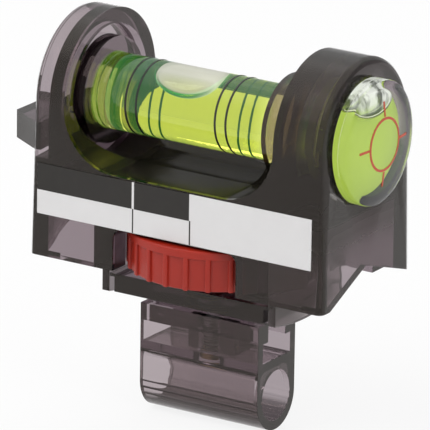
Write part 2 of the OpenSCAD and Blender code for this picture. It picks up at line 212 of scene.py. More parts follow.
def studio_floor(height):
    """A white sweep under the part, which still takes its shadow."""
    mat = bpy.data.materials.new("white_sweep")
    mat.use_nodes = True
    tree = mat.node_tree
    n, link = tree.nodes, tree.links
    n.clear()
    out = n.new("ShaderNodeOutputMaterial")
    paper = n.new("ShaderNodeBsdfDiffuse")
    paper.inputs["Color"].default_value = (0.9, 0.9, 0.9, 1)
    glow = n.new("ShaderNodeEmission")
    glow.inputs["Color"].default_value = (1, 1, 1, 1)
    glow.inputs["Strength"].default_value = 1.0
    share = n.new("ShaderNodeMath")
    share.operation = "MULTIPLY"
    share.inputs[1].default_value = FLOOR_GLOW
    link.new(seen_rays(tree), share.inputs[0])
    link.new(blend_shaders(tree, share.outputs[0], paper.outputs[0], glow.outputs[0]), out.inputs["Surface"])
    mesh = bpy.data.meshes.new("studio_floor")
    corners = ((-1, -1), (1, -1), (1, 1), (-1, 1))
    mesh.from_pydata([(x * FLOOR_HALF, y * FLOOR_HALF, height) for x, y in corners], [], [(0, 1, 2, 3)])
    mesh.materials.append(mat)
    floor = bpy.data.objects.new("studio_floor", mesh)
    bpy.context.collection.objects.link(floor)


# ---------------------------------------------------------------- finishes
def finish_material(name):
    """An empty node material: its tree, its Principled shader and its output."""
    mat = bpy.data.materials.new(name)
    mat.use_nodes = True
    tree = mat.node_tree
    tree.nodes.clear()
    out = tree.nodes.new("ShaderNodeOutputMaterial")
    shader = tree.nodes.new("ShaderNodeBsdfPrincipled")
    tree.links.new(shader.outputs[0], out.inputs["Surface"])
    return mat, tree, shader, out


def object_place(tree):
    """The X, Y and Z of a place in the part, in metres."""
    coord, split = tree.nodes.new("ShaderNodeTexCoord"), tree.nodes.new("ShaderNodeSeparateXYZ")
    tree.links.new(coord.outputs["Object"], split.inputs[0])
    return split.outputs["X"], split.outputs["Y"], split.outputs["Z"]


def away(tree, value):
    """The value without its sign: how far a place lies from the middle."""
    node = tree.nodes.new("ShaderNodeMath")
    node.operation = "ABSOLUTE"
    tree.links.new(value, node.inputs[0])
    return node.outputs[0]


def noise(tree, scale, detail=3.0, squeeze=None):
    """Noise on Object coordinates, its scale per metre. A squeeze below 1 stretches it along an axis."""
    n, link = tree.nodes, tree.links
    coord = n.new("ShaderNodeTexCoord")
    tex = n.new("ShaderNodeTexNoise")
    tex.inputs["Scale"].default_value = scale
    tex.inputs["Detail"].default_value = detail
    tex.inputs["Roughness"].default_value = 0.55
    if squeeze:
        place = n.new("ShaderNodeMapping")
        place.inputs["Scale"].default_value = squeeze
        link.new(coord.outputs["Object"], place.inputs[0])
        link.new(place.outputs[0], tex.inputs["Vector"])
    else:
        link.new(coord.outputs["Object"], tex.inputs["Vector"])
    return tex.outputs["Fac"]


def spread(tree, value, low, high, from_low=0.35, from_high=0.65):
    """Carries a value from one range over to the range from low to high, and stops it there. Noise
    needs no range of its own: it lies mostly between 0.35 and 0.65."""
    node = tree.nodes.new("ShaderNodeMapRange")
    node.inputs["From Min"].default_value = from_low
    node.inputs["From Max"].default_value = from_high
    node.inputs["To Min"].default_value = low
    node.inputs["To Max"].default_value = high
    tree.links.new(value, node.inputs["Value"])
    return node.outputs["Result"]


def bump(tree, shader, height, strength, distance):
    """Raises the surface by a height value; the distance is in metres."""
    node = tree.nodes.new("ShaderNodeBump")
    node.inputs["Strength"].default_value = strength
    node.inputs["Distance"].default_value = distance
    tree.links.new(height, node.inputs["Height"])
    tree.links.new(node.outputs[0], shader.inputs["Normal"])


def blend_colours(tree, value, first, second):
    """A colour between two colours, by a 0 to 1 value."""
    node = tree.nodes.new("ShaderNodeMix")
    node.data_type = "RGBA"
    node.inputs[6].default_value = (*first, 1)
    node.inputs[7].default_value = (*second, 1)
    tree.links.new(value, node.inputs[0])
    return node.outputs[2]


def blend_shaders(tree, share, first, second):
    """Two shaders as one: the share is how much of the second shows."""
    mix = tree.nodes.new("ShaderNodeMixShader")
    for socket, value in zip(mix.inputs, (share, first, second)):
        tree.links.new(value, socket)
    return mix.outputs[0]


def absorb(tree, out, colour, density):
    """Colour that deepens with thickness. The density is per metre."""
    node = tree.nodes.new("ShaderNodeVolumeAbsorption")
    node.inputs["Color"].default_value = (*colour, 1)
    node.inputs["Density"].default_value = density
    tree.links.new(node.outputs[0], out.inputs["Volume"])


def tinted(tree, colour, mask, tint):
    """The colour, with the tint in its place where the mask is 1."""
    mix = tree.nodes.new("ShaderNodeMix")
    mix.data_type = "RGBA"
    mix.inputs[7].default_value = (*tint, 1)
    tree.links.new(colour, mix.inputs[6])
    tree.links.new(mask, mix.inputs[0])
    return mix.outputs[2]


def smoke_plastic(name, density, tint=(1.0, 0.99, 0.98), dull_inside_painted_shade=False, ends=None, foot=None):
    """Clear acrylic with a smoke tint, faintly wavy as it comes out of its mould. The body isn't
    polished inside, and its inside takes painted shade. Ends: how far from the middle the end faces
    start along X, in millimetres, and the painted shade that darkens them. Foot: the places along Z
    where a painted shade, darker towards the bottom, is full and where it is gone, and that shade."""
    mat, tree, shader, out = finish_material(name)
    shader.inputs["Transmission Weight"].default_value = 1.0
    shader.inputs["IOR"].default_value = ACRYLIC_IOR
    shader.inputs["Specular Tint"].default_value = (1.0, 0.88, 0.80, 1)
    skin = blend_colours(tree, noise(tree, 260), tuple(0.96 * c for c in tint), tint)
    sheen = spread(tree, noise(tree, 900, 5), 0.015, 0.05)
    x, _, z = object_place(tree)
    if dull_inside_painted_shade:
        skin, sheen = dull_faces_painted_shade(tree, shader, out, skin, sheen)
    # Painted shade: the end faces are darker, and the body's left end rim is darker still above LEFT_RIM_LOW.
    if ends:
        start, end_painted_shade = ends
        faces = step(tree, away(tree, x), start)
        if dull_inside_painted_shade:
            faces = both(tree, faces, step(tree, away(tree, x), TONGUE_START, rising=False))
        skin = tinted(tree, skin, faces, end_painted_shade)
        if dull_inside_painted_shade:
            left_rim_painted_shade = both(tree, step(tree, x, 0, rising=False), step(tree, z, LEFT_RIM_LOW))
            skin = tinted(tree, skin, both(tree, faces, left_rim_painted_shade), (0.22, 0.205, 0.205))
    # Painted shade, darker towards the bottom of the piece.
    if foot:
        full, gone, foot_painted_shade = foot
        skin = tinted(tree, skin, spread(tree, z, 1, 0, full * MM, gone * MM), foot_painted_shade)
    tree.links.new(skin, shader.inputs["Base Color"])
    tree.links.new(sheen, shader.inputs["Roughness"])
    bump(tree, shader, noise(tree, 160, 2), 0.12, 0.0004)
    absorb(tree, out, (0.323, 0.217, 0.277), density)
    return mat


def dull_faces_painted_shade(tree, shader, out, skin, sheen):
    """The body's inside: dull walls with painted shade, ceilings painted nearly black as shade, and a
    trough with painted shade that looks nearly black because little light comes back out of the
    deck. Returns the new colour and roughness."""
    inside, painted_shade_ceilings, trough = inner_faces(tree)
    # Painted shade on the inner walls, and near black painted shade on the ceilings.
    skin = tinted(tree, skin, inside, (0.34, 0.32, 0.31))
    skin = tinted(tree, skin, painted_shade_ceilings, (0.02, 0.018, 0.016))
    sheen = either(tree, sheen, both(tree, inside, spread(tree, noise(tree, 700), 0.34, 0.44)))
    sheen = either(tree, sheen, both(tree, trough, spread(tree, noise(tree, 700), 0.18, 0.24)))
    # Painted shade in the trough: a plain dark shader mixed in.
    dark = tree.nodes.new("ShaderNodeBsdfDiffuse")
    dark.inputs["Color"].default_value = (0.016, 0.014, 0.010, 1)
    share = spread(tree, trough, 0, TROUGH_PAINTED_SHADE, 0, 1)
    tree.links.new(blend_shaders(tree, share, shader.outputs[0], dark.outputs[0]), out.inputs["Surface"])
    return skin, sheen


def clear_plastic(name, dye=None, density=0.0):
    """Polished clear acrylic with the faint turning marks of its outside. Where it is dyed, the
    plug to the left of the chamber has a faint painted glow, in stripes."""
    mat, tree, shader, out = finish_material(name)
    shader.inputs["Transmission Weight"].default_value = 1.0
    shader.inputs["IOR"].default_value = ACRYLIC_IOR
    tree.links.new(blend_colours(tree, noise(tree, 300), (0.99, 0.99, 0.99), (1, 1, 1)),
                   shader.inputs["Base Color"])
    tree.links.new(spread(tree, noise(tree, 700, 4), 0.0, 0.02), shader.inputs["Roughness"])
    bump(tree, shader, noise(tree, 500, 2, squeeze=(3, 0.3, 0.3)), 0.03, 0.0002)
    if dye:
        absorb(tree, out, dye, density)
        # Painted glow: the plug gives off a little light of its own, in stripes.
        shader.inputs["Emission Color"].default_value = (0.30, 0.60, 0.04, 1)
        plug = step(tree, object_place(tree)[0], CHAMBER_X - CHAMBER_LEN / 2, rising=False)
        painted_glow_stripes = spread(tree, noise(tree, 900, 2, squeeze=(3, 0.2, 0.2)), 0.02, 0.16)
        tree.links.new(both(tree, plug, painted_glow_stripes), shader.inputs["Emission Strength"])
    return mat


def level_liquid(name, colour, density, glow, painted_glow_strength):
    """Dyed liquid: colour by depth, and a faint painted glow of its own. It bends no light at its
    edge, because it fills the clear plastic round it."""
    mat, tree, shader, out = finish_material(name)
    shader.inputs["Transmission Weight"].default_value = 1.0
    shader.inputs["IOR"].default_value = 1.0
    shader.inputs["Roughness"].default_value = 0.0
    shader.inputs["Specular IOR Level"].default_value = 0.0
    tree.links.new(blend_colours(tree, noise(tree, 120), (0.98, 1.0, 0.95), (1, 1, 1)),
                   shader.inputs["Base Color"])
    # Painted glow: the liquid gives off faint light of its own.
    tree.links.new(blend_colours(tree, noise(tree, 90), tuple(0.85 * c for c in glow), glow),
                   shader.inputs["Emission Color"])
    shader.inputs["Emission Strength"].default_value = painted_glow_strength
    absorb(tree, out, colour, density)
    return mat


def bubble_air_painted_reflection(name, axis, low, high, share, streaks=False):
    """Air inside the liquid: light bends the other way at its skin, and a painted reflection of the
    white room covers one part of it, fading in along an axis between two places in millimetres.
    Streaks break up the painted reflection all over; without them it has long soft bands."""
    mat = bpy.data.materials.new(name)
    mat.use_nodes = True
    tree = mat.node_tree
    tree.nodes.clear()
    out = tree.nodes.new("ShaderNodeOutputMaterial")
    skin = tree.nodes.new("ShaderNodeBsdfGlass")
    skin.inputs["IOR"].default_value = 1 / LIQUID_IOR
    skin.inputs["Roughness"].default_value = 0.0
    tree.links.new(blend_colours(tree, noise(tree, 200), (0.96, 1.0, 0.96), (1, 1, 1)), skin.inputs["Color"])
    # Painted reflection: a glow of the room's white mixed over the bubble's skin.
    painted_reflection_share = spread(tree, object_place(tree)["XYZ".index(axis)], 0, share, low * MM, high * MM)
    glow = tree.nodes.new("ShaderNodeEmission")
    glow.inputs["Strength"].default_value = 1.0
    if streaks:
        shade = spread(tree, noise(tree, 330, 4, squeeze=(1.2, 1.0, 0.35)), 0, 1, 0.44, 0.54)
        colour = blend_colours(tree, shade, (0.05, 0.05, 0.05), (0.86, 0.88, 0.84))
    else:
        shade = noise(tree, 260, 2, squeeze=(0.12, 1, 1))
        colour = blend_colours(tree, shade, (0.42, 0.42, 0.40), (0.84, 0.84, 0.82))
    tree.links.new(colour, glow.inputs["Color"])
    tree.links.new(blend_shaders(tree, painted_reflection_share, skin.outputs[0], glow.outputs[0]), out.inputs["Surface"])
    return mat


def moulded_plastic(name, low, high, roughness, soft):
    """Opaque moulded plastic: slight colour drift, satin sheen, a fine moulded skin, and a soft
    share of light that goes in a little way."""
    mat, tree, shader, out = finish_material(name)
    tree.links.new(blend_colours(tree, noise(tree, 220, 4), low, high), shader.inputs["Base Color"])
    tree.links.new(spread(tree, noise(tree, 1500, 4), roughness - 0.06, roughness + 0.06),
                   shader.inputs["Roughness"])
    shader.inputs["Specular IOR Level"].default_value = 0.4
    shader.inputs["Subsurface Weight"].default_value = soft
    shader.inputs["Subsurface Radius"].default_value = (1.0, 0.3, 0.2)
    shader.inputs["Subsurface Scale"].default_value = 0.0008
    bump(tree, shader, noise(tree, 2600, 3), 0.10, 0.00005)
    return mat


def turned_metal(name, low, high, roughness):
    """Metal with fine marks round the screw's axis."""
    mat, tree, shader, out = finish_material(name)
    shader.inputs["Metallic"].default_value = 1.0
    tree.links.new(blend_colours(tree, noise(tree, 400, 4), low, high), shader.inputs["Base Color"])
    marks = noise(tree, 500, 5, squeeze=(0.4, 0.4, 9))
    tree.links.new(spread(tree, marks, roughness - 0.07, roughness + 0.1), shader.inputs["Roughness"])
    bump(tree, shader, marks, 0.15, 0.00005)
    return mat


def printed_paint(name, low, high, roughness=0.45):
    """Thin printed paint, a little uneven."""
    mat, tree, shader, out = finish_material(name)
    tree.links.new(blend_colours(tree, noise(tree, 1400, 4), low, high), shader.inputs["Base Color"])
    tree.links.new(spread(tree, noise(tree, 2000), roughness - 0.08, roughness + 0.08),
                   shader.inputs["Roughness"])
    bump(tree, shader, noise(tree, 3000), 0.1, 0.00003)
    return mat


def step(tree, value, edge, rising=True):
    """1 on one side of the edge and 0 on the other. The value is in metres and the edge in
    millimetres."""
    node = tree.nodes.new("ShaderNodeMath")
    node.operation = "GREATER_THAN" if rising else "LESS_THAN"
    node.inputs[1].default_value = edge * MM
    tree.links.new(value, node.inputs[0])
    return node.outputs[0]


def both(tree, a, b):
    """The product of two 0 to 1 values."""
    node = tree.nodes.new("ShaderNodeMath")
    node.operation = "MULTIPLY"
    tree.links.new(a, node.inputs[0])
    tree.links.new(b, node.inputs[1])
    return node.outputs[0]


def either(tree, a, b):
    """The larger of two 0 to 1 values."""
    node = tree.nodes.new("ShaderNodeMath")
    node.operation = "MAXIMUM"
    tree.links.new(a, node.inputs[0])
    tree.links.new(b, node.inputs[1])
    return node.outputs[0]


def inner_faces(tree):
    """Three masks for the painted shade inside the body: 1 on the walls of the wheel's space and
    fading in up the walls of the side bays, 1 on the ceilings of all three, and 1 in the trough
    under the tube vial."""
    place = object_place(tree)
    x, y, z = away(tree, place[0]), away(tree, place[1]), place[2]

    def under(value, edge):
        return step(tree, value, edge, rising=False)

    wheel_space = both(tree, under(x, SPACE_HALF_X), under(y, SPACE_HALF_Y))
    bays = both(tree, step(tree, x, BAY_NEAR), both(tree, under(x, BAY_FAR), under(y, BAY_HALF_Y)))
    painted_shade_ceilings = either(tree, both(tree, wheel_space, step(tree, z, SPACE_CEILING)),
                      both(tree, bays, step(tree, z, BAY_CEILING)))
    fade = spread(tree, z, 0, 1, BAY_FADE_LOW * MM, BAY_FADE_TOP * MM)
    walls = either(tree, wheel_space, both(tree, bays, fade))
    trough = both(tree, both(tree, under(x, TROUGH_HALF_X), under(y, TROUGH_HALF_Y)),
                  both(tree, step(tree, z, TROUGH_LOW), under(z, TROUGH_TOP)))
    under_deck = under(z, UNDER_DECK)
    return both(tree, under_deck, walls), both(tree, under_deck, painted_shade_ceilings), trough


def label_film(name):
    """Printed film: a dark band along the upper left, white fields and thin dividing lines."""
    mat, tree, shader, _ = finish_material(name)
    x, _, z = object_place(tree)

    def band(value, low, high):
        return both(tree, step(tree, value, low), step(tree, value, high, rising=False))

    dark = both(tree, band(x, DARK_LEFT, DARK_RIGHT), band(z, DARK_LOW, DARK_TOP))
    divider = band(x, DIVIDER_X - 0.2, DIVIDER_X + 0.2)
    thin = either(tree, band(x, DIVIDER_X - 0.12, DIVIDER_X + 0.12), band(x, DARK_RIGHT, DARK_RIGHT + 0.25))
    lines = both(tree, thin, band(z, LINES_LOW, DARK_LOW + 0.05))
    white = blend_colours(tree, noise(tree, 400, 3), (0.69, 0.68, 0.68), (0.73, 0.72, 0.72))
    ink = blend_colours(tree, noise(tree, 500, 3), (0.016, 0.014, 0.012), (0.024, 0.021, 0.018))
    cut = tree.nodes.new("ShaderNodeMath")
    cut.operation = "SUBTRACT"
    cut.use_clamp = True
    tree.links.new(dark, cut.inputs[0])
    tree.links.new(divider, cut.inputs[1])
    print_mix = tree.nodes.new("ShaderNodeMix")
    print_mix.data_type = "RGBA"
    tree.links.new(either(tree, cut.outputs[0], lines), print_mix.inputs[0])
    tree.links.new(white, print_mix.inputs[6])
    tree.links.new(ink, print_mix.inputs[7])
    tree.links.new(print_mix.outputs[2], shader.inputs["Base Color"])
    shader.inputs["Specular IOR Level"].default_value = 0.35
    tree.links.new(spread(tree, noise(tree, 1200), 0.32, 0.42), shader.inputs["Roughness"])
    bump(tree, shader, noise(tree, 1800, 2), 0.06, 0.00004)
    return mat


# ---------------------------------------------------------------- making meshes
WELD = 2e-6            # points closer than this are one, in metres


def add_piece(name, mesh, mat, body, *nodes, smooth=32.0):
    """Puts a finished mesh in the scene, on its body and in place of its CAD nodes."""
    obj = bpy.data.objects.new(name, mesh)
    bpy.context.collection.objects.link(obj)
    mesh.materials.clear()
    mesh.materials.append(mat)
    if smooth:
        mesh.shade_smooth()
        mesh.set_sharp_from_angle(angle=math.radians(smooth))
    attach(obj, body)
    if nodes:
        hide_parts(*nodes)
    return obj


def soften_edges(obj, width, segments=3, angle=30.0):
    """Rounds a piece's edges as a mould or a file does."""
    bevel = obj.modifiers.new("soft_edges", "BEVEL")
    bevel.width = width * MM
    bevel.segments = segments
    bevel.limit_method = "ANGLE"
    bevel.angle_limit = math.radians(angle)
    bevel.harden_normals = True
    bevel.use_clamp_overlap = True
    bevel.miter_outer = "MITER_ARC"


def moulding(node):
    """A merged copy of a CAD node's mesh, its flat faces whole again."""
    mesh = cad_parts[node].data.copy()
    bm = bmesh.new()
    bm.from_mesh(mesh)
    bmesh.ops.remove_doubles(bm, verts=bm.verts, dist=WELD)
    flat = math.radians(0.4)
    bmesh.ops.dissolve_limit(bm, angle_limit=flat, verts=bm.verts, edges=bm.edges)
    bm.to_mesh(mesh)
    bm.free()
    mesh.name = node + "_moulding"
    return mesh


def turned_mesh(name, outline, steps=128, along="x", centre=(0, 0, 0)):
    """A closed turned form. The outline is (radius, place along the axis) in millimetres, from
    one pole to the other."""
    bm = bmesh.new()
    rings = []
    for radius, place in outline:
        if radius < 1e-6:
            rings.append([bm.verts.new((place, 0, 0))])
            continue
        rings.append([bm.verts.new((place, radius * math.cos(2 * math.pi * k / steps),
                                    radius * math.sin(2 * math.pi * k / steps))) for k in range(steps)])
    for lower, upper in zip(rings, rings[1:]):
        for k in range(steps):
            a, b = k, (k + 1) % steps
            if len(lower) == 1:
                bm.faces.new((lower[0], upper[b], upper[a]))
            elif len(upper) == 1:
                bm.faces.new((lower[a], lower[b], upper[0]))
            else:
                bm.faces.new((lower[a], lower[b], upper[b], upper[a]))
    bmesh.ops.recalc_face_normals(bm, faces=bm.faces)
    if along == "z":
        bmesh.ops.rotate(bm, verts=bm.verts, matrix=Matrix.Rotation(math.radians(-90), 3, "Y"))
    bmesh.ops.translate(bm, verts=bm.verts, vec=centre)
    bmesh.ops.scale(bm, verts=bm.verts, vec=(MM, MM, MM))
    mesh = bpy.data.meshes.new(name)
    bm.to_mesh(mesh)
    bm.free()
    return mesh


def arc(centre_r, centre_t, radius, start, end, steps=6):
    """Points of a round edge in an outline; the angles are in degrees from outwards."""
    return [(centre_r + radius * math.cos(math.radians(start + (end - start) * k / steps)),
             centre_t + radius * math.sin(math.radians(start + (end - start) * k / steps)))
            for k in range(steps + 1)]


# ---------------------------------------------------------------- geometry nodes
class Pattern:
    """A Geometry Nodes tree with named inputs, run once and turned into a plain mesh."""

    def __init__(self, name):
        self.tree = bpy.data.node_groups.new(name, "GeometryNodeTree")
        self.face = self.tree.interface
        self.face.new_socket("Geometry", in_out="INPUT", socket_type="NodeSocketGeometry")
        self.face.new_socket("Geometry", in_out="OUTPUT", socket_type="NodeSocketGeometry")
        self.values = {}
        self.source = self.tree.nodes.new("NodeGroupInput")
        self.result = self.tree.nodes.new("NodeGroupOutput")

    def size(self, name, value, kind="NodeSocketFloat"):
        """A named input, with the value that this part takes."""
        socket = self.face.new_socket(name, in_out="INPUT", socket_type=kind)
        self.values[socket.identifier] = value
        return self.source.outputs[name]

    def node(self, kind, inputs=None, **settings):
        """A node with its settings, and its inputs linked or set."""
        node = self.tree.nodes.new(kind)
        for key, value in settings.items():
            setattr(node, key, value)
        for key, value in (inputs or {}).items():
            if isinstance(value, bpy.types.NodeSocket):
                self.tree.links.new(value, node.inputs[key])
            else:
                node.inputs[key].default_value = value
        return node

    def maths(self, operation, a, b):
        node = self.node("ShaderNodeMath", {0: a, 1: b}, operation=operation)
        return node.outputs[0]

    def vector(self, x=0.0, y=0.0, z=0.0):
        return self.node("ShaderNodeCombineXYZ", {"X": x, "Y": y, "Z": z}).outputs[0]

    def finish(self, geometry, mat, start=None):
        """Ends the tree in Realize Instances and Set Material and returns the plain mesh."""
        real = self.node("GeometryNodeRealizeInstances", {0: geometry})
        paint = self.node("GeometryNodeSetMaterial", {0: real.outputs[0], "Material": mat})
        self.tree.links.new(paint.outputs[0], self.result.inputs[0])
        carrier = bpy.data.objects.new(self.tree.name, start or bpy.data.meshes.new(self.tree.name))
        bpy.context.collection.objects.link(carrier)
        modifier = carrier.modifiers.new("pattern", "NODES")
        modifier.node_group = self.tree
        for identifier, value in self.values.items():
            modifier[identifier] = value
        graph = bpy.context.evaluated_depsgraph_get()
        mesh = bpy.data.meshes.new_from_object(carrier.evaluated_get(graph))
        carrier.modifiers.remove(modifier)
        bpy.data.objects.remove(carrier)
        mesh.name = self.tree.name
        return mesh


def screw_thread_mesh(mat):
    """The thread: a rounded ridge swept up the clamp screw."""
    p = Pattern("screw_thread")
    ridge_r = 0.30
    radius = p.size("Core Radius", (SCREW_R - ridge_r + 0.02) * MM)
    low, high = THREAD_LOW + 0.1, WHEEL_LOW + WHEEL_H - 0.55
    base = p.size("Lower End", low * MM)
    length = p.size("Length", (high - low) * MM)
    turns = p.size("Turns", (high - low) / THREAD_PITCH)
    ridge = p.size("Ridge Radius", ridge_r * MM)
    helix = p.node("GeometryNodeCurveSpiral", {"Resolution": 28, "Rotations": turns, "Height": length,
                                               "Start Radius": radius, "End Radius": radius})
    section = p.node("GeometryNodeCurvePrimitiveCircle", {"Resolution": 6, "Radius": ridge}, mode="RADIUS")
    sweep = p.node("GeometryNodeCurveToMesh", {"Curve": helix.outputs[0], "Fill Caps": True,
                                               "Profile Curve": section.outputs[0]})
    place = p.node("GeometryNodeTransform", {"Geometry": sweep.outputs[0], "Translation": p.vector(z=base)})
    return p.finish(place.outputs[0], mat)


def tube_ring_mesh(mat):
    """The four printed rings: two pairs, the same distance from the middle of the chamber."""
    p = Pattern("tube_rings")
    radius = p.size("Ring Radius", (TUBE_R + 0.02) * MM)
    width = p.size("Line Width", 0.19 * MM)
    gap = p.size("Gap Between Pairs", (LINE_GAP + LINE_PITCH) * MM)
    pitch = p.size("Pitch In A Pair", LINE_PITCH * MM)
    ring = p.node("GeometryNodeCurvePrimitiveCircle", {"Resolution": 120, "Radius": radius}, mode="RADIUS")
    section = p.node("GeometryNodeCurvePrimitiveCircle", {"Resolution": 10, "Radius": width}, mode="RADIUS")
    flat = p.node("GeometryNodeTransform", {"Geometry": section.outputs[0], "Scale": (0.32, 1, 1)})
    band = p.node("GeometryNodeCurveToMesh", {"Curve": ring.outputs[0], "Profile Curve": flat.outputs[0]})
    upright = p.node("GeometryNodeTransform", {"Geometry": band.outputs[0], "Rotation": (0, math.pi / 2, 0)})
    half_pitch = p.maths("MULTIPLY", pitch, -0.5)
    pair_points = p.node("GeometryNodeMeshLine", {"Count": 2, "Start Location": p.vector(x=half_pitch),
                                                  "Offset": p.vector(x=pitch)})
    pair = p.node("GeometryNodeInstanceOnPoints", {"Points": pair_points.outputs[0],
                                                   "Instance": upright.outputs[0]})
    half_gap = p.maths("MULTIPLY", gap, -0.5)
    both_points = p.node("GeometryNodeMeshLine", {"Count": 2, "Start Location": p.vector(x=half_gap),
                                                  "Offset": p.vector(x=gap)})
    pairs = p.node("GeometryNodeInstanceOnPoints", {"Points": both_points.outputs[0],
                                                    "Instance": pair.outputs[0]})
    place = p.node("GeometryNodeTransform", {"Geometry": pairs.outputs[0],
                                             "Translation": (CHAMBER_X * MM, 0, AXIS_Z * MM)})
    return p.finish(place.outputs[0], mat)


def wheel_rib_mesh(mat, rib):
    """The ribs round the thumbwheel, one moulded rib repeated on a ring."""
    p = Pattern("wheel_ribs")
    count = p.size("Rib Count", WHEEL_RIBS, "NodeSocketInt")
    radius = p.size("Rib Circle", (WHEEL_R - 0.4) * MM)
    turn = p.size("First Rib", math.radians(-93))
    ring = p.node("GeometryNodeMeshCircle", {"Vertices": count, "Radius": radius})
    spot = p.node("GeometryNodeInputPosition")
    facing = p.node("FunctionNodeAlignEulerToVector", {"Vector": spot.outputs[0]}, axis="X", pivot_axis="Z")
    one = p.node("GeometryNodeObjectInfo", {"Object": rib})
    ribs = p.node("GeometryNodeInstanceOnPoints", {"Points": ring.outputs[0], "Rotation": facing.outputs[0],
                                                   "Instance": one.outputs["Geometry"]})
    turned = p.node("GeometryNodeTransform", {"Geometry": ribs.outputs[0], "Rotation": p.vector(z=turn)})
    return p.finish(turned.outputs[0], mat)


# ---------------------------------------------------------------- the pieces
def dress_body():
    """The body, the stepped plate and the clamp loop, all of smoke clear plastic."""
    # The body's end faces, inside walls, ceilings and trough take painted shade.
    smoke = smoke_plastic("smoke_body", density=570, dull_inside_painted_shade=True, ends=(HALF_LEN - 0.2, (0.5, 0.48, 0.48)))
    body = add_piece("body_shell", moulding("housing"), smoke, "level", "housing")
    soften_edges(body, 0.35)
    smoke = smoke_plastic("smoke_plate", density=570)
    plate = add_piece("base_plate_shell", moulding("base_plate"), smoke, "level", "base_plate")
    soften_edges(plate, 0.2)
    # The loop's end faces and its lower part take painted shade.
    smoke = smoke_plastic("smoke_loop", density=260, tint=(0.535, 0.48, 0.497),
                          ends=(LOOP_LEN / 2 - 0.1, (0.05, 0.045, 0.045)),
                          foot=(-3.2, -1.8, (0.15, 0.13, 0.135)))
    loop = add_piece("clamp_loop_shell", loop_mesh(), smoke, "level", "clamp_loop")
    soften_edges(loop, 0.15, angle=55)


def loop_rod_hole(round_top):
    """The rod hole's outline in Y and Z: scalloped along its lower half, with a round or flat top."""
    points = []
    scallop, depth, ridge = 16.0, 0.16, 0.06     # degrees from ridge to ridge, then millimetres
    first, last, steps = -176, -4, 110           # the scalloped part, in degrees from +Y
    for k in range(steps + 1):
        turn = first + (last - first) * k / steps
        radius = HOLE_R + depth * abs(math.sin(math.pi * (turn + 90) / scallop)) - ridge
        points.append((radius * math.cos(math.radians(turn)), radius * math.sin(math.radians(turn))))
    side = HOLE_R - 0.05
    if round_top:
        return points + arc(0, 0, side, -last, -first, 40)
    top, fillet, rise = 4.3, 1.5, 0.2
    points += [(side, rise)] + arc(side - fillet, top - fillet, fillet, 0, 90, 7)
    return points + arc(-side + fillet, top - fillet, fillet, 90, 180, 7) + [(-side, rise)]


def loop_mesh():
    """The clamp loop: its outline across the rod, run along it, with the screw's hole in its web.
    The rod hole has a flat top, and a round one where the right end closes it in."""
    half, drop = LOOP_W / 2, 0.3                # its round foot is centred this far below the rod
    gap, inner = LIP_GAP / 2, LOOP_W / 2 - SLOT_WALL
    outer = [(half, LOOP_TOP), (gap, LOOP_TOP), (gap, SLOT_TOP), (inner, SLOT_TOP), (inner, SLOT_LOW)]
    outer += [(-y, z) for y, z in reversed(outer)]
    outer += arc(0, -drop, half, 180, 360, 40)
    end, past = LOOP_LEN / 2, 1
    block = run_along_x("clamp_loop_block", outer, -end, end)
    drill_r, drill_low, drill_top = SCREW_R + 0.25, 3.8, 6.4
    drill = [(0, drill_low), (drill_r, drill_low), (drill_r, drill_top), (0, drill_top)]
    cutters = (run_along_x("rod_hole_flat", loop_rod_hole(False), -end - past, end - RIGHT_LIP),
               run_along_x("rod_hole_round", loop_rod_hole(True), end - RIGHT_LIP - 0.1, end + past),
               turned_mesh("web_drill", drill, 64, along="z"))
    for cutter in cutters:
        block = drilled(block, cutter)
    block.name = "clamp_loop_shell"
    return block


def run_along_x(name, outline, start, end):
    """A closed solid: the outline in Y and Z run from one X to another."""
    bm = bmesh.new()
    rings = [[bm.verts.new((x, y, z)) for y, z in outline] for x in (start, end)]
    for ring in rings:
        bm.faces.new(ring)
    for k in range(len(outline)):
        bm.faces.new((rings[0][k - 1], rings[0][k], rings[1][k], rings[1][k - 1]))
    bmesh.ops.recalc_face_normals(bm, faces=bm.faces)
    bmesh.ops.scale(bm, verts=bm.verts, vec=(MM, MM, MM))
    mesh = bpy.data.meshes.new(name)
    bm.to_mesh(mesh)
    bm.free()
    return mesh


def drilled(mesh, tool):
    """The mesh with the tool's space taken out of it."""
    part, cutter = (bpy.data.objects.new(m.name, m) for m in (mesh, tool))
    for obj in (part, cutter):
        bpy.context.collection.objects.link(obj)
    cut = part.modifiers.new("cut", "BOOLEAN")
    cut.operation, cut.solver, cut.object = "DIFFERENCE", "EXACT", cutter
    result = bpy.data.meshes.new_from_object(part.evaluated_get(bpy.context.evaluated_depsgraph_get()))
    for obj in (part, cutter):
        bpy.data.objects.remove(obj)
    return result


